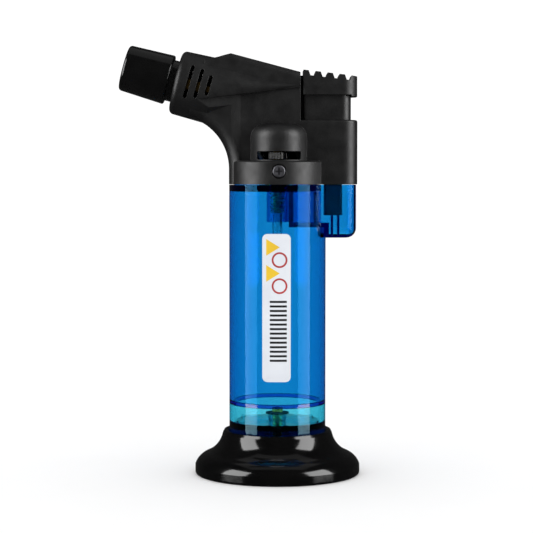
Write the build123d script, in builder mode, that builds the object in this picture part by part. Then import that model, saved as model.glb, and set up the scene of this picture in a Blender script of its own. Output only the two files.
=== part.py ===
from build123d import *

import os
from math import cos, pi, radians, sin, tan

# Refillable piezo-lit butane torch on a bell-shaped foot.
# Frame: origin at the centre of the foot's underside, +Z up along the tank's axis, nozzle towards -X.
# All sizes are in millimetres. "Left" is the -Y side, for a user who looks along the nozzle.

# ---- Clearances ----
FIXED_GAP = 0.05  # pieces that are fixed in each other, per side
RUN_GAP = 0.05  # radial running clearance of a shaft in its bore
SLIDE_GAP = 0.3  # sliding guides and parts that pass each other

# ---- Foot ----
FOOT_R = 27.9
FOOT_H = 14.9
FOOT_EDGE_Z = 3.2
FOOT_NECK_R = 18.5
FOOT_SHOULDER_IN = 3.5
FOOT_RING_W = 2.6
SEAT_DEPTH = 2.2

# ---- Tank ----
TANK_R = 16.3
TANK_WALL = 1.5
TANK_H = 72.8
DECK_T = 2.2
CAP_H = 12.4
CAP_FLANGE_H = 3.6
CAP_FLOOR_T = 1.8
CAP_WALL = 1.7
CAP_SPIGOT_R = 14.4
CAP_SPIGOT_H = 4.2
CAP_SPIGOT_WALL = 1.6
SEAL_RING_H = 1.2
TANK_NECK_R = 14.6
TANK_NECK_H = 6.2
TANK_NECK_WALL = 1.4
LOBE_REACH = 10.1
LOBE_DEPTH = 17.7
LOBE_CORNER_R = 4.6
POCKET_FLOOR_DEPTH = 12.6
POCKET_WALL = 1.5
POCKET_X = 5.2
SOCKET_DEPTH = 12.5
SOCKET_WALL = 1.1

# ---- Housing ----
HOUSING_T = 15.0
HOUSING_WALL = 1.4
HEAD_T = 16.2
COLLAR_H = 7.9
REAR_H = 21.5
REAR_REACH = 10.5
REAR_CORNER_R = 4.8
SLIT_W = 0.9
GUIDE_RIB_HALF = 1.5
GUIDE_RIB_REACH = 0.2
VENT_RIB_HALF = 0.7
SHROUD_FRONT_ROUND = 1.7
BUMP_R = 9.4
BUMP_Y = 6.1
BUMP_H = 20.8
SLOT_W = 14.5
SLOT_H = 2.8
SLOT_Z = 8.2
VENT_W = 1.25

# ---- Nozzle ----
NOZZLE_TILT = 15.5
SHROUD_TILT = 14.0
NOZZLE_REACH = 17.9
NOZZLE_RISE = 34.6
SHROUD_R = 10.75
SHROUD_BACK_R = 11.2
SHROUD_L = 13.0
GUARD_L = 15.8
GUARD_GAP = 2.2
GUARD_TIP_R = 7.75
GUARD_BACK_R = 8.4
GUARD_NECK_R = 7.0
GUARD_BORE_R = 5.5
BURNER_R = 4.6
BURNER_WALL = 0.5
JET_HOLDER_BACK = 14.0
HOLDER_FLANGE_R = 5.4
JET_R = 1.0
INSULATOR_R = 0.9
ELECTRODE_R = 0.35
ELECTRODE_UP = 2.7

# ---- Button and igniter ----
BUTTON_TRAVEL = 7.5
TOOTH_PITCH = 4.05
TOOTH_DEPTH = 1.6
TEETH = 5
STEM_WALL = 1.4
PIEZO_W = 6.1
PIEZO_OFFSET = 2.4
PIEZO_SEAT = 10.2
PIEZO_CASE_H = 19.2
PLUNGER_W = 4.5
HAMMER_R = 1.5

# ---- Outlet valve ----
VALVE_R = 2.6
VALVE_NECK_R = 3.0
VALVE_FLANGE_R = 4.2
CHAMBER_R = 2.0
STEM_R = 1.0
STEM_COLLAR_R = 2.6
ADJUSTER_R = 13.0
ADJUSTER_HUB_R = 4.7
ADJUSTER_T = 2.2
FINGER_W = 6.0
FINGER_T = 2.4
FINGER_ARM_W = 4.6
FINGER_RIB_R = 0.35
LEVER_PIN_R = 1.0
LEVER_HUB_R = 2.0
HOSE_R = 1.4
HOSE_BORE_R = STEM_R + RUN_GAP
HOSE_BEND_R = 6.3
LEAD_R = 0.8

# ---- Filler valve ----
FILLER_R = 1.7
FILLER_STEM_R = 0.75
FILLER_TIP = 0.9  # the stem's tip stands in the socket, where a can's nozzle pushes it

# ---- Label and screws ----
LABEL_W = 9.4
LABEL_H = 49.0
LABEL_T = 0.15
LABEL_CORNER_R = 1.7
SCREW_R = 1.05
SCREW_HEAD_R = 2.1
SCREW_L = 6.0
PIN_R = 0.8

# ---- Levels and places worked out from the sizes above ----
seat_z = FOOT_H - SEAT_DEPTH
tank_bottom = seat_z + CAP_H
tank_top = tank_bottom + TANK_H
gas_r = TANK_R - TANK_WALL
housing_z = tank_top + 0.2
collar_top = housing_z + COLLAR_H
rear_top = housing_z + REAR_H
rear_x = TANK_R + REAR_REACH
lobe_x = TANK_R + LOBE_REACH
slit_x = TANK_R - 8.7
stem_front = slit_x + SLIT_W + 0.3
piezo_x = TANK_R + PIEZO_OFFSET
piezo_z = tank_top - PIEZO_SEAT
half_t = HOUSING_T / 2
cavity_half = half_t - HOUSING_WALL
nozzle_x = -(TANK_R + NOZZLE_REACH)
nozzle_z = tank_top + NOZZLE_RISE
tilt = radians(NOZZLE_TILT)

nozzle_dir = Vector(-cos(tilt), 0, sin(tilt))
nozzle_up = Vector(sin(tilt), 0, cos(tilt))
nozzle_origin = Vector(nozzle_x, 0, nozzle_z)
nozzle_axis = Axis(nozzle_origin, nozzle_dir)
nozzle_plane = Plane(nozzle_origin, x_dir=nozzle_up, z_dir=(0, -1, 0))

shroud_tilt = radians(SHROUD_TILT)
shroud_dir = Vector(-cos(shroud_tilt), 0, sin(shroud_tilt))
shroud_up = Vector(sin(shroud_tilt), 0, cos(shroud_tilt))
shroud_axis = Axis(nozzle_origin, shroud_dir)
shroud_plane = Plane(nozzle_origin, x_dir=shroud_up, z_dir=(0, -1, 0))


def on_nozzle(along, up=0.0, side=0.0):
    """A point given along the nozzle's axis from the shroud's mouth, above it and to its side."""
    return nozzle_origin + nozzle_dir * along + nozzle_up * up + Vector(0, side, 0)


def turn(outline, plane=Plane.XZ, axis=Axis.Z, mode=Mode.ADD):
    """Add or cut a turned shape, from an outline of (radius, height) points."""
    with BuildSketch(plane) as profile:
        with BuildLine():
            Polyline(*outline, close=True)
        make_face()
    revolve(profile.sketch, axis=axis, mode=mode)


def turn_nozzle(outline, mode=Mode.ADD):
    """The same on the nozzle's axis, with heights counted forwards from the shroud's mouth."""
    turn(outline, plane=nozzle_plane, axis=nozzle_axis, mode=mode)


def block(low, high, mode=Mode.ADD):
    """Add or cut a box between two corners."""
    centre = (Vector(*low) + Vector(*high)) * 0.5
    size = Vector(*high) - Vector(*low)
    with Locations(centre):
        Box(size.X, size.Y, size.Z, mode=mode)


def rod(radius, start, end, mode=Mode.ADD):
    """Add or cut a round bar between two points."""
    start = Vector(*start)
    end = Vector(*end)
    with BuildSketch(Plane(start, z_dir=end - start)) as profile:
        Circle(radius)
    extrude(profile.sketch, amount=(end - start).length, mode=mode)


def coil(radius, wire, low, high, turns, x=0.0, y=0.0):
    """Add a compression spring's helix, standing on end."""
    with BuildLine(Plane((x, y, low))) as path:
        Helix(pitch=(high - low) / turns, height=high - low, radius=radius)
    with BuildSketch(Plane(path.line @ 0, z_dir=path.line % 0)) as section:
        Circle(wire)
    sweep(section.sketch, path=path.line, is_frenet=True)


def save(piece, name):
    """Label a finished piece and write it as its own STEP file."""
    piece.label = name
    export_step(piece, f"parts/{name}.step")


os.makedirs("parts", exist_ok=True)

# ---- Foot: glossy bell with a seat for the tank and an open middle for refilling ----
seat_r = TANK_R + 0.35
hub_r = CAP_SPIGOT_R + FIXED_GAP
with BuildPart() as foot:
    with BuildSketch(Plane.XZ):
        with BuildLine():
            flank = ThreePointArc(
                (FOOT_NECK_R, FOOT_H - 0.9),
                (FOOT_NECK_R + 1.9, 9.9),
                (FOOT_R - FOOT_SHOULDER_IN, 6.9),
            )
            shoulder = TangentArc(flank @ 1, (FOOT_R, FOOT_EDGE_Z), tangent=flank % 1)
            Polyline(
                shoulder @ 1,
                (FOOT_R, 0),
                (FOOT_R - FOOT_RING_W, 0),
                (FOOT_R - FOOT_RING_W, FOOT_EDGE_Z - 0.6),
                (FOOT_NECK_R - 1.2, 8.2),
                (FOOT_NECK_R - 1.2, 3.0),
                (hub_r, 3.0),
                (hub_r, seat_z),
                (seat_r, seat_z),
                (seat_r, FOOT_H),
                (FOOT_NECK_R - 0.5, FOOT_H),
                flank @ 0,
            )
        make_face()
    revolve(axis=Axis.Z)
    outer_edges = foot.edges().filter_by(GeomType.CIRCLE).filter_by(lambda e: abs(e.radius - FOOT_R) < 0.01)
    fillet(outer_edges.sort_by(Axis.Z)[0], 0.8)
    lip_edges = foot.edges().filter_by(GeomType.CIRCLE).group_by(Axis.Z)[-1]
    fillet(lip_edges.sort_by(SortBy.RADIUS)[0], 0.5)
save(foot.part, "foot")

# ---- Tank bottom cap: clear plug with a floor, gussets and a snap spigot into the foot ----
flange_top = seat_z + CAP_FLANGE_H
floor_top = flange_top + CAP_FLOOR_T
boss_low = seat_z - 1.4
boss_r = FILLER_R + 1.4
socket_r = FILLER_R + 0.7
socket_top = boss_low + 2.2
boss_top = tank_bottom - 4.8
with BuildPart() as tank_bottom_cap:
    turn(
        [
            (0, seat_z + 1.2),
            (CAP_SPIGOT_R - CAP_SPIGOT_WALL, seat_z + 1.2),
            (CAP_SPIGOT_R - CAP_SPIGOT_WALL, seat_z - CAP_SPIGOT_H),
            (CAP_SPIGOT_R, seat_z - CAP_SPIGOT_H),
            (CAP_SPIGOT_R, seat_z),
            (TANK_R, seat_z),
            (TANK_R, tank_bottom - SEAL_RING_H),
            (TANK_R - CAP_WALL, tank_bottom - SEAL_RING_H),
            (TANK_R - CAP_WALL, floor_top),
            (0, floor_top),
        ]
    )
    turn(
        [
            (TANK_R - 0.35, flange_top - 0.25),
            (TANK_R + 1, flange_top - 0.25),
            (TANK_R + 1, flange_top),
            (TANK_R - 0.35, flange_top),
        ],
        mode=Mode.SUBTRACT,
    )
    rod(boss_r, (0, 0, boss_low), (0, 0, boss_top))
    with PolarLocations((boss_r + TANK_R - CAP_WALL) / 2, 6, start_angle=30):
        with Locations((0, 0, (floor_top + boss_top - 1.5) / 2)):
            Box(TANK_R - CAP_WALL - boss_r + 0.6, 0.9, boss_top - 1.5 - floor_top)
    rod(FILLER_R + FIXED_GAP, (0, 0, boss_low), (0, 0, boss_top), mode=Mode.SUBTRACT)
    rod(socket_r, (0, 0, boss_low), (0, 0, socket_top), mode=Mode.SUBTRACT)
save(tank_bottom_cap.part, "tank_bottom_cap")

# ---- Weld ring that joins the cap to the tank ----
with BuildPart() as tank_seal_ring:
    turn(
        [
            (TANK_R - CAP_WALL - 0.5, tank_bottom - SEAL_RING_H),
            (TANK_R, tank_bottom - SEAL_RING_H),
            (TANK_R, tank_bottom),
            (TANK_R - CAP_WALL - 0.5, tank_bottom),
        ]
    )
save(tank_seal_ring.part, "tank_seal_ring")

# ---- Filler valve: brass body, rubber washer, spring and sprung stem in the cap's boss ----
filler_head = boss_top + 2.0
filler_bore = FILLER_STEM_R + RUN_GAP
filler_seat = socket_top + 1.6
filler_chamber_r = FILLER_R - 0.4
stem_shoulder = filler_seat + 0.5
with BuildPart() as filler_valve_body:
    rod(FILLER_R, (0, 0, socket_top), (0, 0, filler_head))
    rod(FILLER_R + 0.15, (0, 0, boss_top + 0.5), (0, 0, filler_head))
    rod(filler_bore, (0, 0, socket_top), (0, 0, filler_head), mode=Mode.SUBTRACT)
    rod(filler_chamber_r, (0, 0, filler_seat), (0, 0, filler_head - 0.6), mode=Mode.SUBTRACT)
save(filler_valve_body.part, "filler_valve_body")

with BuildPart() as filler_washer:
    rod(3.9, (0, 0, boss_top), (0, 0, boss_top + 0.5))
    rod(FILLER_R + 0.01, (0, 0, boss_top), (0, 0, boss_top + 0.5), mode=Mode.SUBTRACT)
save(filler_washer.part, "filler_washer")

with BuildPart() as filler_seal:
    rod(filler_chamber_r, (0, 0, filler_seat), (0, 0, filler_seat + 0.4))
    rod(filler_bore, (0, 0, filler_seat), (0, 0, filler_seat + 0.4), mode=Mode.SUBTRACT)
save(filler_seal.part, "filler_seal")

with BuildPart() as filler_stem:
    rod(FILLER_STEM_R, (0, 0, socket_top - FILLER_TIP), (0, 0, filler_head + 0.3))
    rod(filler_chamber_r - 0.1, (0, 0, stem_shoulder), (0, 0, stem_shoulder + 0.7))
save(filler_stem.part, "filler_stem")

with BuildPart() as filler_spring:
    coil(1.02, 0.12, stem_shoulder + 0.9, filler_head - 0.8, 4)
save(filler_spring.part, "filler_spring")

# ---- Tank: tinted shell with a deck, a valve socket, and a rear lobe that holds the igniter ----
lobe_bottom = tank_top - LOBE_DEPTH
pocket_floor = tank_top - POCKET_FLOOR_DEPTH
pocket_half = half_t - 0.1 - POCKET_WALL
pocket_rear = lobe_x - POCKET_WALL
lobe_front = TANK_R + 0.9
neck_top = tank_top + TANK_NECK_H
socket_low = tank_top - SOCKET_DEPTH
valve_bore = VALVE_R + FIXED_GAP
screw_x = 0.4
screw_z = housing_z + 4.35
screw_seat = TANK_R - 1.0
with BuildPart() as lobe:
    with BuildSketch(Plane.XY.offset(lobe_bottom)) as lobe_plan:
        with Locations(((gas_r + 0.6 + lobe_x) / 2, 0)):
            Rectangle(lobe_x - gas_r - 0.6, HOUSING_T - 0.2)
        fillet(lobe_plan.vertices().group_by(Axis.X)[-1], LOBE_CORNER_R)
    extrude(amount=LOBE_DEPTH)
    lobe_rim = lobe.edges().group_by(Axis.Z)[0].filter_by(lambda e: e.center().X > gas_r + 1)
    fillet(lobe_rim, 3.2)

with BuildPart() as tank_shell:
    rod(TANK_R, (0, 0, tank_bottom), (0, 0, tank_top))
    rod(gas_r, (0, 0, tank_bottom), (0, 0, tank_top - DECK_T), mode=Mode.SUBTRACT)
    with BuildSketch(Plane.XY.offset(pocket_floor - POCKET_WALL)) as pocket_wall_plan:
        with Locations(((POCKET_X - POCKET_WALL + lobe_x) / 2, 0)):
            Rectangle(lobe_x - POCKET_X + POCKET_WALL, HOUSING_T - 0.2)
        fillet(pocket_wall_plan.vertices().group_by(Axis.X)[-1], LOBE_CORNER_R)
    extrude(amount=tank_top - pocket_floor + POCKET_WALL)
    add(lobe.part)
    with BuildSketch(Plane.XY.offset(pocket_floor)) as pocket_plan:
        with Locations(((POCKET_X + pocket_rear) / 2, 0)):
            Rectangle(pocket_rear - POCKET_X, 2 * pocket_half)
        fillet(pocket_plan.vertices().group_by(Axis.X)[-1], LOBE_CORNER_R - POCKET_WALL)
    extrude(amount=POCKET_FLOOR_DEPTH, mode=Mode.SUBTRACT)
    with BuildSketch(Plane.XY.offset(lobe_bottom + POCKET_WALL)) as well_plan:
        with Locations(((lobe_front + pocket_rear) / 2, 0)):
            Rectangle(pocket_rear - lobe_front, 2 * pocket_half)
        fillet(well_plan.vertices().group_by(Axis.X)[-1], LOBE_CORNER_R - POCKET_WALL)
    extrude(amount=LOBE_DEPTH, mode=Mode.SUBTRACT)
    for rib_x in (piezo_x - 0.5, piezo_x + 1.6):
        block((rib_x - 0.4, -pocket_half - 0.2, lobe_bottom + 1), (rib_x + 0.4, pocket_half + 0.2, piezo_z))
    rod(VALVE_R + SOCKET_WALL, (0, 0, socket_low), (0, 0, tank_top))
    turn(
        [
            (TANK_NECK_R - TANK_NECK_WALL, tank_top),
            (TANK_NECK_R, tank_top),
            (TANK_NECK_R, neck_top),
            (TANK_NECK_R - TANK_NECK_WALL, neck_top),
        ]
    )
    block((screw_x - 2.6, -TANK_NECK_R + 0.5, tank_top), (screw_x + 2.6, -9.3, neck_top))
    block((screw_x - 2.6, 9.3, tank_top), (screw_x + 2.6, TANK_NECK_R - 0.5, neck_top))
    block(
        (POCKET_X - 1, -cavity_half - 0.2, tank_top),
        (TANK_R + 2, cavity_half + 0.2, neck_top + 1),
        mode=Mode.SUBTRACT,
    )
    rod(valve_bore, (0, 0, socket_low), (0, 0, tank_top), mode=Mode.SUBTRACT)
    for side in (-1, 1):
        rod(
            SCREW_R + 0.02,
            (screw_x, side * (TANK_R + 1), screw_z),
            (screw_x, side * 9.0, screw_z),
            mode=Mode.SUBTRACT,
        )
save(tank_shell.part, "tank_shell")

# ---- Wick tube that feeds liquid gas to the valve ----
wick_top = socket_low + 3.0
with BuildPart() as wick_tube:
    rod(1.7, (0, 0, tank_bottom + 6), (0, 0, wick_top))
    rod(1.1, (0, 0, tank_bottom + 6), (0, 0, wick_top), mode=Mode.SUBTRACT)
save(wick_tube.part, "wick_tube")

# ---- Outlet valve: threaded body, gland, seal, spring and lifting stem ----
chamber_low = socket_low + 4.5
chamber_top = tank_top + 7.0
ring_z = housing_z + SLOT_Z + 0.25
valve_top = ring_z + ADJUSTER_T + 0.6
with BuildPart() as outlet_valve_body:
    thread_z = wick_top
    thread_pitch = 1.5
    outline = [(0, thread_z)]
    while thread_z < tank_top - 2 * thread_pitch:
        outline += [
            (VALVE_R - 0.45, thread_z),
            (VALVE_R, thread_z + thread_pitch / 4),
            (VALVE_R, thread_z + thread_pitch / 2),
            (VALVE_R - 0.45, thread_z + thread_pitch * 3 / 4),
        ]
        thread_z += thread_pitch
    outline += [
        (VALVE_R, thread_z),
        (VALVE_R, tank_top),
        (VALVE_FLANGE_R, tank_top),
        (VALVE_FLANGE_R, tank_top + 1.6),
        (VALVE_NECK_R, tank_top + 1.6),
        (VALVE_NECK_R, valve_top),
        (0, valve_top),
    ]
    turn(outline)
    rod(0.6, (0, 0, wick_top), (0, 0, chamber_low), mode=Mode.SUBTRACT)
    rod(CHAMBER_R, (0, 0, chamber_low), (0, 0, valve_top), mode=Mode.SUBTRACT)
save(outlet_valve_body.part, "outlet_valve_body")

with BuildPart() as valve_gland:
    rod(CHAMBER_R - FIXED_GAP, (0, 0, chamber_top), (0, 0, valve_top))
    rod(STEM_R + RUN_GAP, (0, 0, chamber_top), (0, 0, valve_top), mode=Mode.SUBTRACT)
save(valve_gland.part, "valve_gland")

seal_z = chamber_low + 0.15
head_z = seal_z + 0.8
stem_collar_z = valve_top + 2.6
stem_top = stem_collar_z + 4.7
stem_bore_r = 0.45
stem_bore_low = head_z + 3
port_r = 0.3
port_z = stem_bore_low + 2 * port_r
with BuildPart() as valve_stem:
    rod(CHAMBER_R - 0.15, (0, 0, head_z), (0, 0, head_z + 1.5))
    rod(STEM_R, (0, 0, head_z), (0, 0, stem_top))
    rod(STEM_COLLAR_R, (0, 0, stem_collar_z), (0, 0, stem_collar_z + 1.0))
    rod(stem_bore_r, (0, 0, stem_bore_low), (0, 0, stem_top), mode=Mode.SUBTRACT)
    rod(port_r, (-STEM_R - 1, 0, port_z), (0, 0, port_z), mode=Mode.SUBTRACT)
save(valve_stem.part, "valve_stem")

with BuildPart() as valve_seal:
    rod(CHAMBER_R - 0.15, (0, 0, seal_z), (0, 0, head_z))
save(valve_seal.part, "valve_seal")

with BuildPart() as valve_spring:
    coil(1.5, 0.2, head_z + 1.8, chamber_top - 0.3, 6)
save(valve_spring.part, "valve_spring")

# ---- Flame adjuster: a ring on the valve with a ribbed finger arc behind the slot ----
with BuildSketch() as finger_arc:
    Circle(ADJUSTER_R)
    Circle(ADJUSTER_R - FINGER_T, mode=Mode.SUBTRACT)
    with Locations((0, -ADJUSTER_R)):
        Rectangle(FINGER_W, ADJUSTER_R, mode=Mode.INTERSECT)

with BuildPart() as flame_adjuster:
    with BuildSketch(Plane.XY.offset(ring_z)) as adjuster_plan:
        Circle(ADJUSTER_HUB_R)
        with Locations((0, -ADJUSTER_R / 2)):
            Rectangle(FINGER_ARM_W, ADJUSTER_R - 2)
        add(finger_arc.sketch)
        with PolarLocations(ADJUSTER_R, 5, start_angle=-90 - 10, angular_range=20):
            Circle(FINGER_RIB_R)
        Circle(VALVE_NECK_R + RUN_GAP, mode=Mode.SUBTRACT)
    extrude(adjuster_plan.sketch, amount=ADJUSTER_T)
save(flame_adjuster.part, "flame_adjuster")

# ---- Lever: a bell crank that the button's ramp swings, so that its fork lifts the stem ----
pivot_x = slit_x - 2.4
pivot_z = stem_collar_z + 0.4
fork_top = stem_collar_z - SLIDE_GAP
fork_end = -0.6
tip_r = 0.8
tip_x = slit_x
tip_z = pivot_z - 5.6
fork_in = STEM_R + 0.4
fork_out = fork_in + 1.5
with BuildPart() as valve_lever:
    rod(LEVER_HUB_R, (pivot_x, -fork_out, pivot_z), (pivot_x, fork_out, pivot_z))
    block((fork_end, -fork_out, fork_top - 1.3), (pivot_x, fork_out, fork_top))
    block(
        (fork_end - 1, -fork_in, fork_top - 2),
        (pivot_x - LEVER_HUB_R + 0.2, fork_in, fork_top + 1),
        mode=Mode.SUBTRACT,
    )
    with BuildSketch(Plane.XZ) as tail:
        with BuildLine():
            Polyline(
                (pivot_x - 0.6, pivot_z - 1),
                (pivot_x + 1.3, pivot_z - 0.6),
                (tip_x + tip_r, tip_z),
                (tip_x - tip_r, tip_z),
                close=True,
            )
        make_face()
        with Locations((tip_x, tip_z)):
            Circle(tip_r)
    extrude(tail.sketch, amount=fork_in, both=True)
    rod(
        LEVER_PIN_R + RUN_GAP,
        (pivot_x, -fork_out - 1, pivot_z),
        (pivot_x, fork_out + 1, pivot_z),
        mode=Mode.SUBTRACT,
    )
save(valve_lever.part, "valve_lever")

with BuildPart() as lever_pin:
    rod(LEVER_PIN_R, (pivot_x, -cavity_half, pivot_z), (pivot_x, cavity_half, pivot_z))
save(lever_pin.part, "lever_pin")

# ---- Piezo igniter: case in the tank's pocket, crystal, hammer, spring and plunger ----
case_top = piezo_z + PIEZO_CASE_H
well_z = piezo_z + 2.7
plunger_low = well_z + BUTTON_TRAVEL + 1.0
plunger_top = rear_top - 0.2
with BuildPart() as piezo_case:
    with BuildSketch(Plane.XY.offset(piezo_z)) as case_plan:
        with Locations((piezo_x, 0)):
            RectangleRounded(PIEZO_W, PIEZO_W, 0.8)
    extrude(case_plan.sketch, amount=PIEZO_CASE_H)
    with BuildSketch(Plane.XY.offset(well_z)) as case_bore:
        with Locations((piezo_x, 0)):
            RectangleRounded(PLUNGER_W + 2 * RUN_GAP, PLUNGER_W + 2 * RUN_GAP, 0.55)
    extrude(case_bore.sketch, amount=PIEZO_CASE_H, mode=Mode.SUBTRACT)
    rod(1.3, (piezo_x, 0, piezo_z + 0.4), (piezo_x, 0, well_z), mode=Mode.SUBTRACT)
save(piezo_case.part, "piezo_case")

with BuildPart() as piezo_crystal:
    rod(1.3 - FIXED_GAP, (piezo_x, 0, piezo_z + 0.4), (piezo_x, 0, well_z - 0.1))
save(piezo_crystal.part, "piezo_crystal")

bore_r = HAMMER_R + 0.2
bore_top = plunger_top - 4.5
hammer_low = well_z + 3.3
hammer_top = hammer_low + 4.0
with BuildPart() as piezo_plunger:
    with BuildSketch(Plane.XY.offset(plunger_low)) as plunger_plan:
        with Locations((piezo_x, 0)):
            RectangleRounded(PLUNGER_W, PLUNGER_W, 0.5)
    extrude(plunger_plan.sketch, amount=plunger_top - plunger_low)
    rod(bore_r, (piezo_x, 0, plunger_low), (piezo_x, 0, bore_top), mode=Mode.SUBTRACT)
save(piezo_plunger.part, "piezo_plunger")

with BuildPart() as piezo_hammer:
    rod(HAMMER_R, (piezo_x, 0, hammer_low), (piezo_x, 0, hammer_top))
save(piezo_hammer.part, "piezo_hammer")

with BuildPart() as piezo_spring:
    coil(1.2, 0.22, hammer_top + 0.3, bore_top - 0.3, 9, x=piezo_x)
save(piezo_spring.part, "piezo_spring")

# ---- Thumb button: ribbed cap on a hollow stem, with the ramp that swings the lever ----
cap_low = rear_top + BUTTON_TRAVEL + 0.9
cap_front = slit_x + SLIT_W + 0.1
guide_rib_low = rear_top - 0.5
cap_slope = radians(6.7)
cap_high_front = cap_low + 8.25
stem_rear = rear_x - 2.2
stem_half = cavity_half - SLIDE_GAP
stem_low = housing_z + 14.8
leg_low = tip_z - 0.5
nose_top = tip_z + BUTTON_TRAVEL
ramp_reach = 1.6
with BuildPart() as thumb_button:
    with BuildSketch(Plane.XZ) as cap_side:
        with BuildLine():
            crest = Vector(cap_front, cap_high_front)
            run = Vector(cos(cap_slope), -sin(cap_slope))
            points = [(cap_front, cap_low)]
            for tooth in range(TEETH):
                start = crest + run * (tooth * TOOTH_PITCH)
                points += [
                    (start.X, start.Y),
                    ((start + run * 1.75).X, (start + run * 1.75).Y),
                    ((start + run * 2.35).X, (start + run * 2.35).Y - TOOTH_DEPTH),
                    ((start + run * 3.45).X, (start + run * 3.45).Y - TOOTH_DEPTH),
                ]
            last = crest + run * (TEETH * TOOTH_PITCH - 2.1)
            points = points[:-2]
            points += [
                (rear_x - 0.1, last.Y),
                (rear_x - 0.1, cap_low - 0.6),
                (rear_x - 2.0, cap_low - 0.6),
                (rear_x - 2.2, cap_low),
            ]
            Polyline(*points, close=True)
        make_face()
    extrude(cap_side.sketch, amount=half_t - 0.1, both=True)
    with BuildSketch(Plane.XY.offset(cap_low - 2)) as cap_plan:
        with Locations(((cap_front + rear_x - 0.1) / 2, 0)):
            Rectangle(rear_x - 0.1 - cap_front, HOUSING_T - 0.2)
        fillet(cap_plan.vertices().group_by(Axis.X)[-1], REAR_CORNER_R)
    extrude(cap_plan.sketch, amount=14, mode=Mode.INTERSECT)
    with BuildSketch(Plane.XY.offset(stem_low)) as stem_plan:
        with Locations(((stem_front + stem_rear) / 2, 0)):
            Rectangle(stem_rear - stem_front, 2 * stem_half)
        fillet(stem_plan.vertices().group_by(Axis.X)[-1], 3.2)
        fillet(stem_plan.vertices().group_by(Axis.X)[0], 0.6)
    extrude(stem_plan.sketch, amount=cap_low - stem_low + 1)
    with BuildSketch(Plane.XY.offset(stem_low)) as hollow_plan:
        with Locations(((stem_front + stem_rear) / 2, 0)):
            Rectangle(stem_rear - stem_front - 2 * STEM_WALL, 2 * (stem_half - STEM_WALL))
        fillet(hollow_plan.vertices().group_by(Axis.X)[-1], 3.2 - STEM_WALL)
    extrude(hollow_plan.sketch, amount=cap_low - stem_low + 2, mode=Mode.SUBTRACT)
    rod(3.0, (piezo_x, 0, plunger_top), (piezo_x, 0, cap_low + 2.5))
    # Groove up the front of stem and cap for the housing's guide rib
    block(
        (cap_front - 1, -GUIDE_RIB_HALF - SLIDE_GAP, guide_rib_low - SLIDE_GAP),
        (cap_front + GUIDE_RIB_REACH + SLIDE_GAP, GUIDE_RIB_HALF + SLIDE_GAP, cap_high_front + 1),
        mode=Mode.SUBTRACT,
    )
    block((stem_front, -2, leg_low), (stem_front + STEM_WALL, 2, stem_low + 1))
    with BuildSketch(Plane.XZ) as ramp:
        with BuildLine():
            Polyline(
                (stem_front + 0.1, tip_z + 0.3),
                (stem_front - ramp_reach, nose_top),
                (stem_front + 0.1, nose_top),
                close=True,
            )
        make_face()
    extrude(ramp.sketch, amount=1.3, both=True)
save(thumb_button.part, "thumb_button")

# ---- Housing: two mirrored shells of matt moulded plastic ----
head_half = HEAD_T / 2
neck_front = -TANK_R
arc_r = 18.0
arc_centre = (neck_front - arc_r, tank_top + 5.3)
arc_end = (arc_centre[0] + arc_r * sin(radians(14.75)), arc_centre[1] + arc_r * cos(radians(14.75)))
arc_mid = (arc_centre[0] + arc_r * cos(radians(37)), arc_centre[1] + arc_r * sin(radians(37)))
head_front_top = (nozzle_x + 10.2, nozzle_z + 7.0)
step_low = (nozzle_x + 14.6, nozzle_z + 8.0)
step_high = (nozzle_x + 18.7, nozzle_z + 9.2)
head_rear_top = (slit_x, nozzle_z + 3.05)
crease_rear = (slit_x + 0.2, nozzle_z - 2.05)
crease_front = (nozzle_x + 7.8, nozzle_z - 6.1)
slot_z = housing_z + SLOT_Z
inner_collar_r = TANK_NECK_R + 0.15
burner_back = -JET_HOLDER_BACK
saddle_r = BURNER_R + 0.4


def on_arc(radius, angle):
    """A point on an arc struck from the neck curve's centre."""
    return (arc_centre[0] + radius * cos(radians(angle)), arc_centre[1] + radius * sin(radians(angle)))


# Recessed side panels under the fin, cut from both flanks
with BuildPart() as panel_recess:
    band_r = arc_r + 3.75
    with BuildSketch(Plane.XZ):
        with BuildLine():
            Polyline(
                on_arc(band_r, 0),
                (on_arc(band_r, 0)[0], housing_z - 1),
                (slit_x + 0.2, housing_z - 1),
                crease_rear,
                crease_front,
                on_arc(band_r, 62),
            )
            ThreePointArc(on_arc(band_r, 62), on_arc(band_r, 31), on_arc(band_r, 0))
        make_face()
    extrude(amount=14, both=True)
    with BuildSketch(Plane.XY.offset(housing_z - 2)):
        with BuildLine():
            Polyline(
                (crease_front[0] - 2, 10.6),
                (neck_front + 4, half_t),
                (slit_x + 1, half_t),
                (slit_x + 1, 14),
                (crease_front[0] - 2, 14),
                close=True,
            )
        make_face()
        mirror(about=Plane.XZ)
    extrude(amount=50, mode=Mode.INTERSECT)

# Rear block that holds the button and the igniter
with BuildPart() as rear_block:
    with BuildSketch(Plane.XY.offset(housing_z)) as rear_plan:
        with Locations(((slit_x - 2 + rear_x) / 2, 0)):
            Rectangle(rear_x - slit_x + 2, HOUSING_T)
        fillet(rear_plan.vertices().group_by(Axis.X)[-1], REAR_CORNER_R)
    extrude(amount=REAR_H)
    fillet(rear_block.edges().group_by(Axis.Z)[-1].filter_by(lambda e: e.center().X > slit_x - 1), 0.7)

# Collar that sleeves the tank's neck; its rear is left to the flat rear block
with BuildPart() as collar:
    turn(
        [
            (0, housing_z),
            (TANK_R, housing_z),
            (TANK_R, collar_top - 0.5),
            (TANK_R - 0.5, collar_top),
            (0, collar_top),
        ]
    )
    block((slit_x + 6.9, -TANK_R, housing_z - 1), (TANK_R + 1, TANK_R, collar_top + 1), mode=Mode.SUBTRACT)

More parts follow.
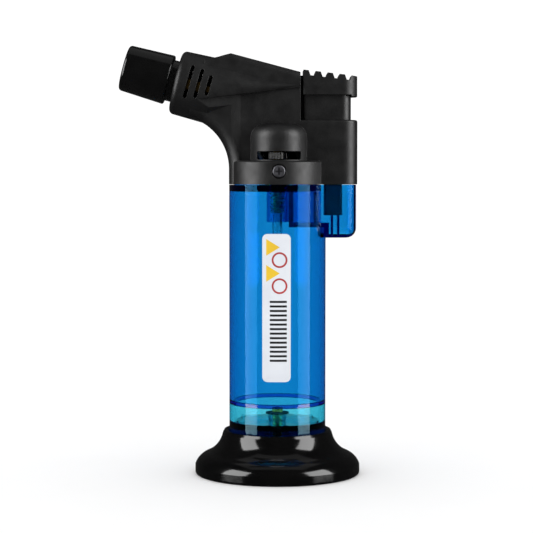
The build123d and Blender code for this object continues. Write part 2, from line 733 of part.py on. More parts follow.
# Domed bump that gives the flame adjuster room, one on each flank
with BuildPart() as bumps:
    for side in (-1, 1):
        bump_plane = Plane((screw_x, side * BUMP_Y, housing_z), x_dir=(1, 0, 0), z_dir=(0, -1, 0))
        with BuildSketch(bump_plane) as dome:
            with BuildLine():
                Polyline((0, BUMP_H), (0, 4), (BUMP_R, 4), (BUMP_R, BUMP_H - 5.2))
                ThreePointArc(
                    (BUMP_R, BUMP_H - 5.2),
                    (BUMP_R - 1.4, BUMP_H - 1.8),
                    (BUMP_R - 4.6, BUMP_H - 0.5),
                )
                Line((BUMP_R - 4.6, BUMP_H - 0.5), (0, BUMP_H))
            make_face()
        revolve(axis=Axis((screw_x, side * BUMP_Y, 0), (0, 0, 1)))

# Outline of the head, and the same drawn in by the wall for its hollow
with BuildSketch(Plane.XZ) as head_side:
    with BuildLine():
        Line((neck_front, housing_z), (neck_front, arc_centre[1]))
        ThreePointArc((neck_front, arc_centre[1]), on_arc(arc_r, 37), on_arc(arc_r, 75.25))
        Polyline(
            on_arc(arc_r, 75.25),
            head_front_top,
            step_low,
            step_high,
            head_rear_top,
            (slit_x, housing_z),
            (neck_front, housing_z),
        )
    make_face()

with BuildPart() as hollow:
    with BuildSketch(Plane.XZ):
        add(head_side.sketch)
        offset(amount=-HOUSING_WALL, kind=Kind.INTERSECTION)
    extrude(amount=cavity_half, both=True)
    block(
        (slit_x - 3, -cavity_half, housing_z - 1),
        (rear_x - HOUSING_WALL - 0.1, cavity_half, rear_top - HOUSING_WALL - 0.1),
    )
    block((-TANK_R + 3, -cavity_half, housing_z - 1), (slit_x, cavity_half, housing_z + 5))
    turn(
        [
            (0, housing_z - 1),
            (inner_collar_r, housing_z - 1),
            (inner_collar_r, neck_top + 0.3),
            (0, neck_top + 0.3),
        ]
    )
    for side in (-1, 1):
        rod(
            BUMP_R - HOUSING_WALL,
            (screw_x, side * BUMP_Y, neck_top - 1),
            (screw_x, side * BUMP_Y, housing_z + BUMP_H - HOUSING_WALL - 0.5),
        )
    turn_nozzle([(0, -1.8), (SHROUD_R - 1.8, -1.8), (SHROUD_R - 1.8, -15.5), (0, -15.5)])
    vertical_corners = hollow.edges().filter_by(Axis.Z).group_by(Axis.X)[-1]
    fillet(vertical_corners, REAR_CORNER_R - HOUSING_WALL)

vent_rib_low = BURNER_R + FIXED_GAP
vent_rib_high = SHROUD_R - 1.4
vent_rib_back = burner_back + 2.2
vent_rib_front = -3.2 - SLIDE_GAP - 0.1
with BuildPart() as shell:
    extrude(head_side.sketch, amount=head_half, both=True)
    fillet(shell.edges().filter_by(GeomType.CIRCLE), 4.4)
    flank_edges = shell.edges().filter_by(lambda e: abs(abs(e.center().Y) - head_half) < 0.01)
    top_edges = flank_edges.filter_by(lambda e: e.center().Z > nozzle_z + 4 and e.center().X > step_high[0])
    fillet(top_edges, 2.0)
    turn(
        [(0, 0), (SHROUD_R, 0), (SHROUD_BACK_R, -SHROUD_L), (0, -SHROUD_L)],
        plane=shroud_plane,
        axis=shroud_axis,
    )
    front_rim = shell.edges().filter_by(GeomType.CIRCLE)
    front_rim = front_rim.filter_by(lambda e: (e.arc_center - nozzle_origin).length < 0.05)
    fillet(front_rim, SHROUD_FRONT_ROUND)
    fin_start = nozzle_origin - shroud_dir * SHROUD_L
    with BuildSketch(Plane(fin_start, x_dir=(0, 1, 0), z_dir=-shroud_dir)) as fin_front:
        Circle(SHROUD_BACK_R)
    fin_plane = Plane((slit_x - 0.3, 0, nozzle_z - 1.4), x_dir=(0, 1, 0), z_dir=(1, 0, 0))
    with BuildSketch(fin_plane) as fin_rear:
        Ellipse(head_half, 0.8)
    loft([fin_front.sketch.face(), fin_rear.sketch.face()], ruled=True)
    add(panel_recess.part, mode=Mode.SUBTRACT)
    add(rear_block.part)
    add(collar.part)
    add(bumps.part)
    add(hollow.part, mode=Mode.SUBTRACT)
    # Mouth for the nozzle guard, vents beside the burner, well and guide rib for the button, slot
    rod(GUARD_NECK_R + FIXED_GAP, on_nozzle(-3), on_nozzle(3), mode=Mode.SUBTRACT)
    with BuildSketch(nozzle_plane) as vents:
        for vent in range(3):
            with Locations((0.9 + 0.25 * vent, -4.7 - 3.35 * vent)):
                SlotCenterToCenter(10.1 - 0.4 * vent - 0.9 * vent * vent, VENT_W)
    extrude(vents.sketch, amount=14, both=True, mode=Mode.SUBTRACT)
    # Rib over the burner behind the vents
    with BuildSketch(nozzle_plane) as vent_rib:
        with Locations(((vent_rib_low + vent_rib_high) / 2, (vent_rib_back + vent_rib_front) / 2)):
            Rectangle(vent_rib_high - vent_rib_low, vent_rib_front - vent_rib_back)
    extrude(vent_rib.sketch, amount=VENT_RIB_HALF, both=True)
    with BuildSketch(Plane.XY.offset(rear_top - 3)) as well_mouth:
        with Locations(((stem_front + stem_rear) / 2, 0)):
            Rectangle(stem_rear - stem_front + 2 * SLIDE_GAP, 2 * cavity_half)
        fillet(well_mouth.vertices().group_by(Axis.X)[-1], 3.2 + SLIDE_GAP)
    extrude(well_mouth.sketch, amount=4, mode=Mode.SUBTRACT)
    block(
        (slit_x - HOUSING_WALL / 2, -GUIDE_RIB_HALF, guide_rib_low),
        (cap_front + GUIDE_RIB_REACH, GUIDE_RIB_HALF, head_rear_top[1] - 1),
    )
    slot_plane = Plane((screw_x, -TANK_R - 1, slot_z + SLOT_H / 2), x_dir=(1, 0, 0), z_dir=(0, 1, 0))
    with BuildSketch(slot_plane) as slot:
        RectangleRounded(SLOT_W, SLOT_H, 0.5)
    extrude(slot.sketch, amount=8.5, mode=Mode.SUBTRACT)
    # Screw seats, lever bosses and the saddle that grips the burner
    boss_end = BUMP_Y + BUMP_R - 3.5
    for side in (-1, 1):
        screw_out = (screw_x, side * (TANK_R + 1), screw_z)
        rod(SCREW_HEAD_R + 0.35, (screw_x, side * screw_seat, screw_z), screw_out, mode=Mode.SUBTRACT)
        rod(SCREW_R + 0.2, (screw_x, side * (TANK_NECK_R - 1), screw_z), screw_out, mode=Mode.SUBTRACT)
        rod(2.2, (pivot_x, side * (fork_out + SLIDE_GAP), pivot_z), (pivot_x, side * boss_end, pivot_z))
    rod(
        LEVER_PIN_R + 0.02,
        (pivot_x, -cavity_half, pivot_z),
        (pivot_x, cavity_half, pivot_z),
        mode=Mode.SUBTRACT,
    )
    turn_nozzle(
        [
            (HOLDER_FLANGE_R + FIXED_GAP, burner_back + 0.2),
            (SHROUD_R - 1.6, burner_back + 0.2),
            (SHROUD_R - 1.6, burner_back + 1.8),
            (HOLDER_FLANGE_R + FIXED_GAP, burner_back + 1.8),
        ]
    )

# The shell parts at the middle plane; pins on the left half enter bosses on the right half
pin_places = [
    (neck_front + 4.8, tank_top + 15),
    (slit_x - 5, nozzle_z - 2.2),
    (rear_x - 3.2, housing_z + 2.4),
]
with BuildPart() as housing_left:
    add(shell.part)
    split(bisect_by=Plane.XZ, keep=Keep.TOP)
    for x, z in pin_places:
        rod(PIN_R + 0.7, (x, -cavity_half - 0.1, z), (x, 0, z))
        rod(PIN_R, (x, -1, z), (x, 1.8, z))
save(housing_left.part, "housing_left")

with BuildPart() as housing_right:
    add(shell.part)
    split(bisect_by=Plane.XZ, keep=Keep.BOTTOM)
    for x, z in pin_places:
        rod(PIN_R + 0.7, (x, cavity_half + 0.1, z), (x, 0, z))
        rod(PIN_R + FIXED_GAP, (x, 0, z), (x, 2.0, z), mode=Mode.SUBTRACT)
save(housing_right.part, "housing_right")

# ---- Screws through the collar into the tank's neck ----
with BuildPart() as collar_screws:
    for side in (-1, 1):
        seat = (screw_x, side * screw_seat, screw_z)
        rod(SCREW_HEAD_R, seat, (screw_x, side * (screw_seat + 0.9), screw_z))
        rod(SCREW_R, (screw_x, side * (screw_seat - SCREW_L), screw_z), seat)
    round_edges = collar_screws.edges().filter_by(GeomType.CIRCLE)
    fillet(round_edges.filter_by(lambda e: abs(e.center().Y) > screw_seat + 0.8), 0.4)
    for side in (-1, 1):
        for arm in ((2.4, 0.55), (0.55, 2.4)):
            face = side * (screw_seat + 0.9)
            low = (screw_x - arm[0] / 2, min(face, face - side * 0.8), screw_z - arm[1] / 2)
            high = (screw_x + arm[0] / 2, max(face, face - side * 0.8), screw_z + arm[1] / 2)
            block(low, high, mode=Mode.SUBTRACT)
save(collar_screws.part, "collar_screws")

# ---- Nozzle guard: tapered sleeve that plugs into the shroud and centres the burner ----
guard_low = GUARD_GAP
guard_high = GUARD_GAP + GUARD_L
with BuildPart() as nozzle_guard:
    turn_nozzle(
        [
            (BURNER_R + FIXED_GAP, -3.2),
            (GUARD_NECK_R + 0.9, -3.2),
            (GUARD_NECK_R + 0.9, -1.85),
            (GUARD_NECK_R, -1.85),
            (GUARD_NECK_R, guard_low),
            (GUARD_BACK_R, guard_low),
            (GUARD_TIP_R, guard_high),
            (GUARD_BORE_R + 0.5, guard_high),
            (GUARD_BORE_R, guard_high - 0.8),
            (GUARD_BORE_R, 5),
            (BURNER_R + FIXED_GAP, 5),
        ]
    )
    rims = nozzle_guard.edges().filter_by(GeomType.CIRCLE)
    fillet(rims.filter_by(lambda e: abs(e.radius - GUARD_TIP_R) < 0.01), 1.1)
    back_rims = nozzle_guard.edges().filter_by(GeomType.CIRCLE)
    fillet(back_rims.filter_by(lambda e: abs(e.radius - GUARD_BACK_R) < 0.01), 0.6)
save(nozzle_guard.part, "nozzle_guard")

# ---- Burner: tube with air windows, flame disc, jet holder with hose barb, and the jet ----
tube_in = BURNER_R - BURNER_WALL
tube_low = burner_back + 2
tube_high = guard_high - 3.4
with BuildPart() as burner_tube:
    rod(BURNER_R, on_nozzle(tube_low), on_nozzle(tube_high))
    rod(tube_in, on_nozzle(tube_low - 1), on_nozzle(tube_high + 1), mode=Mode.SUBTRACT)
    for side in (-1, 1):
        for up in (-1, 1):
            rod(1.1, on_nozzle(-6.0), on_nozzle(-6.0, up=up * 6, side=side * 6), mode=Mode.SUBTRACT)
save(burner_tube.part, "burner_tube")

with BuildPart() as flame_disc:
    disc_low = tube_high - 2.6
    rod(tube_in - 0.02, on_nozzle(disc_low), on_nozzle(disc_low + 1.4))
    rod(1.3, on_nozzle(disc_low - 1), on_nozzle(disc_low + 2), mode=Mode.SUBTRACT)
    for hole in range(6):
        turn_angle = radians(60 * hole)
        up = 2.7 * cos(turn_angle)
        side = 2.7 * sin(turn_angle)
        rod(0.65, on_nozzle(disc_low - 1, up, side), on_nozzle(disc_low + 2, up, side), mode=Mode.SUBTRACT)
save(flame_disc.part, "flame_disc")

barb_r = HOSE_BORE_R - 0.02
holder_front = tube_low + 4
with BuildPart() as jet_holder:
    rod(HOLDER_FLANGE_R, on_nozzle(burner_back), on_nozzle(tube_low))
    rod(tube_in - 0.02, on_nozzle(burner_back), on_nozzle(holder_front))
    rod(barb_r, on_nozzle(burner_back - 4), on_nozzle(burner_back))
    rod(0.55, on_nozzle(burner_back - 5), on_nozzle(holder_front + 1), mode=Mode.SUBTRACT)
    rod(JET_R + 0.02, on_nozzle(holder_front - 2), on_nozzle(holder_front + 1), mode=Mode.SUBTRACT)
    rod(
        INSULATOR_R + 0.02,
        on_nozzle(burner_back - 1, ELECTRODE_UP),
        on_nozzle(holder_front + 1, ELECTRODE_UP),
        mode=Mode.SUBTRACT,
    )
save(jet_holder.part, "jet_holder")

with BuildPart() as gas_jet:
    rod(JET_R, on_nozzle(holder_front - 2), on_nozzle(holder_front + 1))
    rod(0.6, on_nozzle(holder_front - 2), on_nozzle(holder_front + 0.4), mode=Mode.SUBTRACT)
    rod(0.15, on_nozzle(holder_front - 2), on_nozzle(holder_front + 1), mode=Mode.SUBTRACT)
save(gas_jet.part, "gas_jet")

# ---- Spark electrode in its ceramic tube ----
electrode_back = burner_back - 2.4
with BuildPart() as electrode:
    rod(ELECTRODE_R, on_nozzle(electrode_back, ELECTRODE_UP), on_nozzle(disc_low - 1.6, ELECTRODE_UP))
save(electrode.part, "electrode")

with BuildPart() as electrode_insulator:
    rod(INSULATOR_R, on_nozzle(burner_back - 1.5, ELECTRODE_UP), on_nozzle(holder_front + 7, ELECTRODE_UP))
    rod(
        ELECTRODE_R + 0.02,
        on_nozzle(burner_back - 2, ELECTRODE_UP),
        on_nozzle(holder_front + 8, ELECTRODE_UP),
        mode=Mode.SUBTRACT,
    )
save(electrode_insulator.part, "electrode_insulator")

# ---- Gas hose from the valve stem to the burner's barb ----
hose_low = stem_collar_z + 2.6
hose_corner = Vector(0, 0, nozzle_z + nozzle_x * tan(tilt))
hose_end = on_nozzle(burner_back - 0.3)
with BuildPart() as gas_hose:
    with BuildLine() as hose_route:
        FilletPolyline((0, 0, hose_low), hose_corner, hose_end, radius=HOSE_BEND_R)
    with BuildSketch(Plane((0, 0, hose_low))):
        Circle(HOSE_R)
        Circle(HOSE_BORE_R, mode=Mode.SUBTRACT)
    sweep()
save(gas_hose.part, "gas_hose")

# ---- Insulated lead from the igniter's case to the electrode ----
lead_points = [
    Vector(piezo_x - PIEZO_W / 2, 1.9, piezo_z + 13.4),
    Vector(piezo_x - PIEZO_W / 2 - 2.2, 1.9, piezo_z + 13.4),
    Vector(piezo_x - 8.1, 4.4, piezo_z + 13.4),
    Vector(slit_x - 2.1, 4.9, piezo_z + 13.6),
    Vector(slit_x - 8.6, 5.0, piezo_z + 14.6),
    Vector(slit_x - 13.6, 4.9, piezo_z + 19.4),
    Vector(slit_x - 16.1, 4.7, piezo_z + 26.5),
    on_nozzle(-25.2, -4.0, 4.5),
    on_nozzle(-22.6, 1.9, 3.4),
    on_nozzle(electrode_back - 2.8, ELECTRODE_UP),
    on_nozzle(electrode_back, ELECTRODE_UP),
]


def corner_radius(before, corner, after):
    """The largest arc for a corner that leaves both of its runs a straight middle."""
    turn_by = radians((corner - before).get_angle(after - corner))
    shorter = min((corner - before).length, (after - corner).length)
    return 0.45 * shorter / tan(turn_by / 2)


lead_radii = [corner_radius(*lead_points[i : i + 3]) for i in range(len(lead_points) - 2)]
print("lead corner radii", [round(radius, 1) for radius in lead_radii])
with BuildPart() as ignition_lead:
    with BuildLine() as lead_route:
        FilletPolyline(*lead_points, radius=lead_radii)
    with BuildSketch(Plane(lead_points[0], z_dir=lead_points[1] - lead_points[0])):
        Circle(LEAD_R)
    sweep()
save(ignition_lead.part, "ignition_lead")
for name, route, piece, section in (
    ("gas_hose", hose_route, gas_hose, HOSE_R**2 - HOSE_BORE_R**2),
    ("ignition_lead", lead_route, ignition_lead, LEAD_R**2),
):
    length = route.wire().length
    print(name, "length", round(length, 2), "volume", round(piece.part.volume, 2))
    print("  section times length", round(pi * section * length, 2))

# ---- Paper label on the tank's left side ----
label_z = tank_bottom + 7.8
with BuildPart() as label:
    label_centre = (screw_x - 0.8, -TANK_R - 2, label_z + LABEL_H / 2)
    with BuildSketch(Plane(label_centre, x_dir=(1, 0, 0), z_dir=(0, 1, 0))):
        RectangleRounded(LABEL_W, LABEL_H, LABEL_CORNER_R)
    extrude(amount=6)
    with BuildSketch(Plane.XY.offset(label_z - 1)) as paper:
        Circle(TANK_R + LABEL_T)
        Circle(TANK_R, mode=Mode.SUBTRACT)
    extrude(paper.sketch, amount=LABEL_H + 2, mode=Mode.INTERSECT)
save(label.part, "label")
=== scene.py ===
from math import cos, log, pi, radians, sin, sqrt

import bpy
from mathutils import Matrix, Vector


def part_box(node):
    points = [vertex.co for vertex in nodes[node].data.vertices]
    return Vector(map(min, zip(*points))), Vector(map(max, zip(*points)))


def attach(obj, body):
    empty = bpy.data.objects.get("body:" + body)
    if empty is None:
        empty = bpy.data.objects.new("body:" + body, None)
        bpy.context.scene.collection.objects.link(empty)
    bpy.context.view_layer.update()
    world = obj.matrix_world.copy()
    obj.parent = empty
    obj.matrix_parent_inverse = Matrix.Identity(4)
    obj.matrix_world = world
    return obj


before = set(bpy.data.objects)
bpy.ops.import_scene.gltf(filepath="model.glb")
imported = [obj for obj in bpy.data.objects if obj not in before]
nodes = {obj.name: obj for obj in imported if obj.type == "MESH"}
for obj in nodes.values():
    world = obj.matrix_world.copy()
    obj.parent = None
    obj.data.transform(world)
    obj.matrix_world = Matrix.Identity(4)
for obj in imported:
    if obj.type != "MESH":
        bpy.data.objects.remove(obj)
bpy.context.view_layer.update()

# ---- Table top, light and camera ----
# The torch stands on a white table between two tall softboxes, which draw one soft upright
# highlight down each flank and leave the middle of every glossy piece dark.


def linear(hex_code):
    """An sRGB hex value as a linear colour with full alpha."""
    channels = [int(hex_code[i : i + 2], 16) / 255 for i in (1, 3, 5)]
    return [c / 12.92 if c <= 0.04045 else ((c + 0.055) / 1.055) ** 2.4 for c in channels] + [1.0]


def add(tree, kind, inputs=(), **settings):
    """Adds a node, makes its settings, and gives each input its value or its link."""
    made = tree.nodes.new(kind)
    for name, value in settings.items():
        setattr(made, name, value)
    for name, value in dict(inputs).items():
        if isinstance(value, bpy.types.NodeSocket):
            tree.links.new(value, made.inputs[name])
        else:
            made.inputs[name].default_value = value
    return made


def blank(name):
    """A new material with an empty node tree, and its output node."""
    made = bpy.data.materials.new(name)
    made.use_nodes = True
    made.node_tree.nodes.clear()
    return made, made.node_tree, made.node_tree.nodes.new("ShaderNodeOutputMaterial")


def object_coords(tree):
    """Positions on the piece, in metres."""
    return add(tree, "ShaderNodeTexCoord").outputs["Object"]


MM = 0.001
scene = bpy.context.scene
scene.view_settings.view_transform = "Standard"

table_half = 6.0
table_mesh = bpy.data.meshes.new("table_top")
table_mesh.from_pydata(
    [(x * table_half, y * table_half, 0) for x, y in ((-1, -1), (1, -1), (1, 1), (-1, 1))],
    [],
    [(0, 1, 2, 3)],
)
table_top = bpy.data.objects.new("table_top", table_mesh)
scene.collection.objects.link(table_top)
table_paint, tree, out = blank("white_sweep_board")
speckle = add(
    tree,
    "ShaderNodeTexNoise",
    {"Vector": object_coords(tree), "Scale": 1 / (25 * MM), "Detail": 2},
)
board_tone = add(
    tree,
    "ShaderNodeMapRange",
    {"Value": speckle.outputs["Fac"], "To Min": 0.95, "To Max": 0.97},
)
board = add(
    tree,
    "ShaderNodeBsdfPrincipled",
    {"Base Color": board_tone.outputs[0], "Roughness": 1.0, "Specular IOR Level": 0.0},
)
tree.links.new(board.outputs[0], out.inputs["Surface"])
table_mesh.materials.append(table_paint)
table_top.visible_glossy = False

softbox_reach = 0.85
softbox_turn = radians(66)
softbox_tilt = radians(78)
softbox_w = 0.56
softbox_h = 1.0
softbox_z = 0.34
softbox_power = 11.0
for side in (-1, 1):
    light = bpy.data.lights.new("softbox", "AREA")
    light.shape = "RECTANGLE"
    light.size = softbox_w
    light.size_y = softbox_h
    light.energy = softbox_power
    lamp = bpy.data.objects.new("softbox", light)
    lamp.location = (
        side * softbox_reach * sin(softbox_turn),
        -softbox_reach * cos(softbox_turn),
        softbox_z,
    )
    lamp.rotation_euler = (softbox_tilt, 0, side * softbox_turn)
    # The room lights the table, so that the foot keeps its soft contact shadow
    lamp.visible_diffuse = False
    scene.collection.objects.link(lamp)

# A weak lamp above, a little behind, keeps the upper edges from going quite black
overhead = bpy.data.lights.new("overhead", "AREA")
overhead.size = 1.0
overhead.energy = 0.6
overhead_lamp = bpy.data.objects.new("overhead", overhead)
overhead_lamp.location = (0, 0.25, 1.1)
scene.collection.objects.link(overhead_lamp)

# The room is white to the eye, through clear plastic and on the table, and dim in reflections
room = bpy.data.worlds.new("white_room")
room.use_nodes = True
tree = room.node_tree
tree.nodes.clear()
ray = add(tree, "ShaderNodeLightPath")
bright = add(tree, "ShaderNodeBackground", {"Color": (1, 1, 1, 1), "Strength": 1.06})
dim = add(tree, "ShaderNodeBackground", {"Color": (1, 1, 1, 1), "Strength": 0.03})
reflected = add(
    tree,
    "ShaderNodeMath",
    {0: ray.outputs["Is Glossy Ray"], 1: ray.outputs["Is Transmission Ray"]},
    operation="SUBTRACT",
    use_clamp=True,
)
mix = add(
    tree,
    "ShaderNodeMixShader",
    {0: reflected.outputs[0], 1: bright.outputs[0], 2: dim.outputs[0]},
)
add(tree, "ShaderNodeOutputWorld", {"Surface": mix.outputs[0]})
scene.world = room

# The camera stands in front at the height of the collar and looks slightly down
camera_pitch = radians(90 - 3.3)
lens = bpy.data.cameras.new("camera")
lens.lens = 117.25
lens.sensor_width = 36
camera = bpy.data.objects.new("camera", lens)
camera.location = (-0.0037, -0.587, 0.1041)
camera.rotation_euler = (camera_pitch, 0, 0)
scene.collection.objects.link(camera)
scene.camera = camera

# ---- Foot ----
# A hollow bell of black ABS, injection moulded in a polished tool and pressed onto the cap.
# The polish gives sharp reflections, with a faint haze of handling marks.


def dress(material, *names):
    """Gives CAD nodes one material."""
    for name in names:
        slots = nodes[name].data.materials
        slots.clear()
        slots.append(material)


def noise(tree, where, size_mm, detail):
    """Noise with spots of about the given size."""
    spots = add(
        tree,
        "ShaderNodeTexNoise",
        {"Vector": where, "Scale": 1 / (size_mm * MM), "Detail": detail},
    )
    return spots.outputs["Fac"]


def spread(tree, value, low, high):
    """The middle of a noise's range, stretched from low to high."""
    stretched = add(
        tree,
        "ShaderNodeMapRange",
        {"Value": value, "From Min": 0.3, "From Max": 0.7, "To Min": low, "To Max": high},
    )
    return stretched.outputs[0]


def two_tone(tree, value, dark, light):
    """A colour that drifts between two with a noise."""
    ramp = add(tree, "ShaderNodeValToRGB", {"Fac": value})
    for stop, position, colour in zip(ramp.color_ramp.elements, (0.3, 0.7), (dark, light)):
        stop.position = position
        stop.color = linear(colour)
    return ramp.outputs["Color"]


def raised(tree, height, relief_mm):
    """Relief of the given depth."""
    return add(
        tree,
        "ShaderNodeBump",
        {"Height": height, "Strength": 1.0, "Distance": relief_mm * MM},
    )


DRIFT_MM = 9
HANDLING_MM = 3.5


def moulded(name, dark, light, rough, grain_mm, relief_mm, coat=0.0, edge_mm=0.0):
    """Opaque moulded plastic: slow colour drift, uneven gloss, and the tool's surface as relief."""
    made, tree, out = blank(name)
    where = object_coords(tree)
    colour = two_tone(tree, noise(tree, where, DRIFT_MM, 3), dark, light)
    gloss = spread(tree, noise(tree, where, HANDLING_MM, 6), *rough)
    relief = raised(tree, noise(tree, where, grain_mm, 4), relief_mm)
    if edge_mm:
        rounded = add(tree, "ShaderNodeBevel", {"Radius": edge_mm * MM}, samples=4)
        tree.links.new(rounded.outputs[0], relief.inputs["Normal"])
    shader = add(
        tree,
        "ShaderNodeBsdfPrincipled",
        {
            "Base Color": colour,
            "Roughness": gloss,
            "Normal": relief.outputs[0],
            "IOR": 1.53,
            "Coat Weight": coat,
            "Coat Roughness": 0.05,
        },
    )
    tree.links.new(shader.outputs[0], out.inputs["Surface"])
    return made


polished_abs = moulded(
    "black_abs_polished", "#040405", "#090909", (0.09, 0.14), 1.2, 0.0006, edge_mm=0.25
)
dress(polished_abs, "foot")

# ---- Tank bottom cap and weld ring ----
# Clear blue-green styrene plug with gussets, welded to the tank through a deep blue ring.
# Moulded clear: sharp refraction, and a colour that deepens with the thickness looked through.


FLOW_MM = 6
LEAST_LET_THROUGH = 0.004


def tinted(name, seen_through, wall_mm, rough, sheen="#ffffff"):
    """Clear tinted plastic whose colour is what a wall of that thickness lets through."""
    made, tree, out = blank(name)
    flow = noise(tree, object_coords(tree), FLOW_MM, 2)
    gloss = add(tree, "ShaderNodeMapRange", {"Value": flow, "To Min": rough[0], "To Max": rough[1]})
    ripple = raised(tree, flow, 0.004)
    body = add(
        tree,
        "ShaderNodeBsdfPrincipled",
        {
            "Base Color": (1, 1, 1, 1),
            "Roughness": gloss.outputs[0],
            "Normal": ripple.outputs[0],
            "IOR": 1.49,
            "Specular Tint": linear(sheen),
            "Transmission Weight": 1.0,
        },
    )
    passed = [max(c, LEAST_LET_THROUGH) for c in linear(seen_through)[:3]]
    loss = [-log(c) / (wall_mm * MM) for c in passed]
    density = max(loss)
    dye = add(
        tree,
        "ShaderNodeVolumeAbsorption",
        {"Color": [1 - c / density for c in loss] + [1], "Density": density},
    )
    tree.links.new(body.outputs[0], out.inputs["Surface"])
    tree.links.new(dye.outputs[0], out.inputs["Volume"])
    return made


dress(
    tinted("clear_styrene_cyan", "#48bcd4", 3.4, (0.01, 0.03), sheen="#90c8dc"),
    "tank_bottom_cap",
)
dress(tinted("clear_styrene_deep_blue", "#1c5cc4", 2.2, (0.02, 0.04)), "tank_seal_ring")

# ---- Filler valve, outlet valve and burner brass ----
# Free-cutting brass turned on an automatic lathe. Fine tool marks run round each piece,
# so highlights stretch along its axis, and handling has dulled it unevenly.


TARNISH_MM = 2.5


def metal(name, dark, light, rough, mark_mm, relief_mm):
    """Machined metal: uneven tone, uneven gloss, and fine tool marks across Z."""
    made, tree, out = blank(name)
    where = object_coords(tree)
    tone = noise(tree, where, TARNISH_MM, 4)
    squeezed = add(tree, "ShaderNodeMapping", {"Vector": where, "Scale": (0.1, 0.1, 1.0)})
    relief = raised(tree, noise(tree, squeezed.outputs[0], mark_mm, 2), relief_mm)
    shader = add(
        tree,
        "ShaderNodeBsdfPrincipled",
        {
            "Base Color": two_tone(tree, tone, dark, light),
            "Metallic": 1.0,
            "Roughness": spread(tree, tone, *rough),
            "Normal": relief.outputs[0],
        },
    )
    tree.links.new(shader.outputs[0], out.inputs["Surface"])
    return made


turned_brass = metal("brass_turned", "#a98339", "#d8b76a", (0.18, 0.34), 0.12, 0.003)
dress(turned_brass, "filler_valve_body", "outlet_valve_body", "valve_gland", "valve_stem")
dress(turned_brass, "burner_tube", "flame_disc", "jet_holder", "gas_jet")

# ---- Seals ----
# The filler's washer and the seals of both valves, in nitrile rubber, moulded and deflashed.
# Black and matt, with a slightly sooty bloom.
nitrile = moulded("nitrile_rubber_moulded", "#0d0d0d", "#1b1b1c", (0.6, 0.8), 0.3, 0.01)
dress(nitrile, "filler_washer", "filler_seal", "valve_seal")

# ---- Springs, stem, pin, hammer and electrode ----
# Stainless wire and rod, cold drawn, then coiled or cut to length.
# Bright from the die, with fine marks.
drawn_steel = metal("stainless_steel_drawn", "#8f9194", "#c6c8ca", (0.16, 0.3), 0.1, 0.002)
dress(drawn_steel, "filler_stem", "filler_spring", "valve_spring", "lever_pin")
dress(drawn_steel, "piezo_hammer", "piezo_spring", "electrode")

# ---- Tank ----
# Clear blue SAN, moulded in one with its deck, valve socket and the lobe for the igniter.
# Bright where one wall is looked through, and deep blue along the edges where it is thick.
dress(tinted("clear_san_blue", "#047cc4", 3.0, (0.01, 0.03), sheen="#2c9cdc"), "tank_shell")

# ---- Wick tube ----
# Natural polyethylene, extruded, pushed into the valve. Milky clear, so inside the blue tank
# it hardly shows against the wall behind it.
dress(tinted("polyethylene_natural_extruded", "#d4dcdc", 1.2, (0.12, 0.2)), "wick_tube")

# ---- Lever and igniter's mouldings ----
# The lever, the igniter's case and its plunger are acetal, injection moulded and left unpolished.
# Dark and satin, with the waxy look of a slippery plastic.
acetal = moulded("acetal_satin", "#131316", "#202024", (0.35, 0.5), 0.4, 0.006)
dress(acetal, "valve_lever", "piezo_case", "piezo_plunger")

# ---- Ceramics ----
# The electrode's tube is sintered alumina and the igniter's crystal a fired piezo ceramic.
# Both are glazed: off-white, hard and smooth, faintly mottled.
alumina = moulded("alumina_glazed", "#d9d5ca", "#efece4", (0.16, 0.28), 0.5, 0.003, coat=0.4)
dress(alumina, "piezo_crystal", "electrode_insulator")

# ---- Housing, thumb button and adjuster ----
# Black ABS, moulded in a spark-eroded tool that leaves an even matt grain on every outer face.
# Edges are slightly rounded and catch the light. The adjuster's tool is polished instead.
eroded_abs = moulded(
    "black_abs_spark_eroded", "#0e0e0f", "#161617", (0.38, 0.5), 0.3, 0.045, edge_mm=0.2
)
dress(eroded_abs, "housing_left", "housing_right", "thumb_button")
dress(polished_abs, "flame_adjuster")

# ---- Nozzle guard ----
# A black phenolic sleeve that stands the burner's heat, compression moulded in a polished tool.
# Its flange is held in the mouth between the housing's two halves.
phenolic = moulded(
    "black_phenolic_polished", "#070707", "#0e0e0e", (0.1, 0.17), 0.9, 0.001, edge_mm=0.2
)
dress(phenolic, "nozzle_guard")

# ---- Collar screws ----
# Two cross-head tapping screws in cold-headed carbon steel, blackened in a hot oxide bath.
# Satin and dark, driven through the collar into the tank's neck.
black_oxide = metal("steel_black_oxide", "#5c5c60", "#84848a", (0.42, 0.55), 0.2, 0.003)
dress(black_oxide, "collar_screws")

# ---- Gas hose and ignition lead ----
# The hose is milky extruded nylon, pushed over the valve's stem and the jet's holder.
# The lead's insulation is extruded white silicone.
nylon = moulded(
    "nylon_hose_extruded", "#b9bab6", "#d2d3cf", (0.25, 0.38), 0.6, 0.003, coat=0.2
)
silicone = moulded("silicone_lead_extruded", "#bdbcb7", "#d6d5d0", (0.4, 0.55), 0.5, 0.004)
dress(nylon, "gas_hose")
dress(silicone, "ignition_lead")

# ---- Label and its printed marks ----
# White polypropylene film, offset printed and stuck to the tank. Plain shapes only: they say
# nothing and stand for no sign. Each mark is a film of ink that follows the tank's curve.
film = moulded("polypropylene_film_white", "#e2e6ee", "#ecf0f6", (0.28, 0.36), 0.5, 0.002)
dress(film, "label")

label_low, label_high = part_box("label")
label_r = -label_low[1]
label_x = (label_low[0] + label_high[0]) / 2
label_top = label_high[2]
INK_T = 0.03 * MM


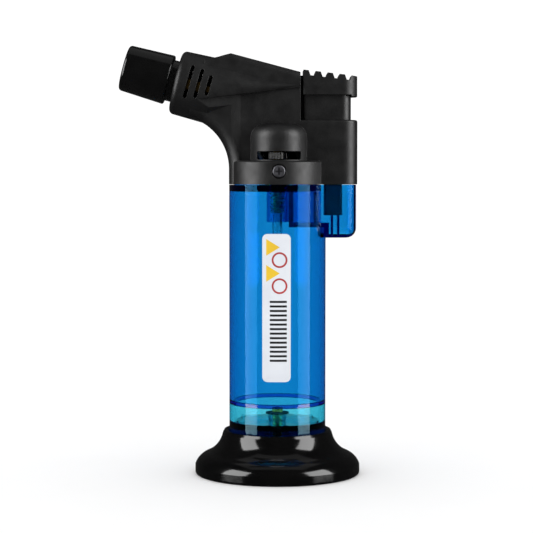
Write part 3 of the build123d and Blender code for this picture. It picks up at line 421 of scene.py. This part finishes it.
def printed(name, pairs, ink, closed=False):
    """A film of ink between two lines of points, (x, z) in mm from the label's top middle."""
    verts = []
    for pair in pairs:
        for dx, dz in pair:
            x = label_x + dx * MM
            z = label_top + dz * MM
            for radius in (label_r + INK_T, label_r - INK_T):
                verts.append((x, -sqrt(radius**2 - x**2), z))
    count = len(pairs)
    faces = []
    for i in range(count if closed else count - 1):
        a = 4 * i
        b = 4 * ((i + 1) % count)
        faces += [(a, b, b + 2, a + 2), (a + 1, a + 3, b + 3, b + 1)]
        faces += [(a, a + 1, b + 1, b), (a + 2, b + 2, b + 3, a + 3)]
    if not closed:
        end = 4 * (count - 1)
        faces += [(0, 2, 3, 1), (end, end + 1, end + 3, end + 2)]
    mesh = bpy.data.meshes.new(name)
    mesh.from_pydata(verts, [], faces)
    mesh.materials.append(ink)
    mark = bpy.data.objects.new(name, mesh)
    scene.collection.objects.link(mark)
    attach(mark, "torch_body")


yellow_ink = moulded("offset_ink_yellow", "#efc21c", "#fad22e", (0.3, 0.4), 0.4, 0.001)
red_ink = moulded("offset_ink_red", "#b03434", "#c24040", (0.3, 0.4), 0.4, 0.001)
black_ink = moulded("offset_ink_black", "#1a1a1c", "#26262a", (0.3, 0.4), 0.4, 0.001)

STEPS = 12
WEDGE_LEFT = -3.4
WEDGE_W = 4.4
WEDGE_HALF = 2.7
WEDGE_TIP_HALF = 0.04
for index, wedge_z in enumerate((-4.4, -13.0)):
    wedge = []
    for i in range(STEPS + 1):
        half = WEDGE_HALF * (1 - i / STEPS) + WEDGE_TIP_HALF
        dx = WEDGE_LEFT + WEDGE_W * i / STEPS
        wedge.append(((dx, wedge_z - half), (dx, wedge_z + half)))
    printed(f"yellow_wedge_{index + 1}", wedge, yellow_ink)

RING_X = 1.0
RING_RADII = (2.0, 2.6)
RING_STEPS = 40
for index, ring_z in enumerate((-8.6, -17.2)):
    hoop = []
    for i in range(RING_STEPS):
        turn = -2 * pi * i / RING_STEPS
        hoop.append([(RING_X + r * cos(turn), ring_z + r * sin(turn)) for r in RING_RADII])
    printed(f"red_ring_{index + 1}", hoop, red_ink, closed=True)

BARS = 14
BAR_TOP = -22.4
BAR_PITCH = 1.5
BAR_LEFT = -2.2
BAR_W = 5.6
BAR_HALF = 0.35
for index in range(BARS):
    bar_z = BAR_TOP - BAR_PITCH * index
    bar = []
    for i in range(STEPS + 1):
        dx = BAR_LEFT + BAR_W * i / STEPS
        bar.append(((dx, bar_z - BAR_HALF), (dx, bar_z + BAR_HALF)))
    printed(f"plain_bar_{index + 1}", bar, black_ink)
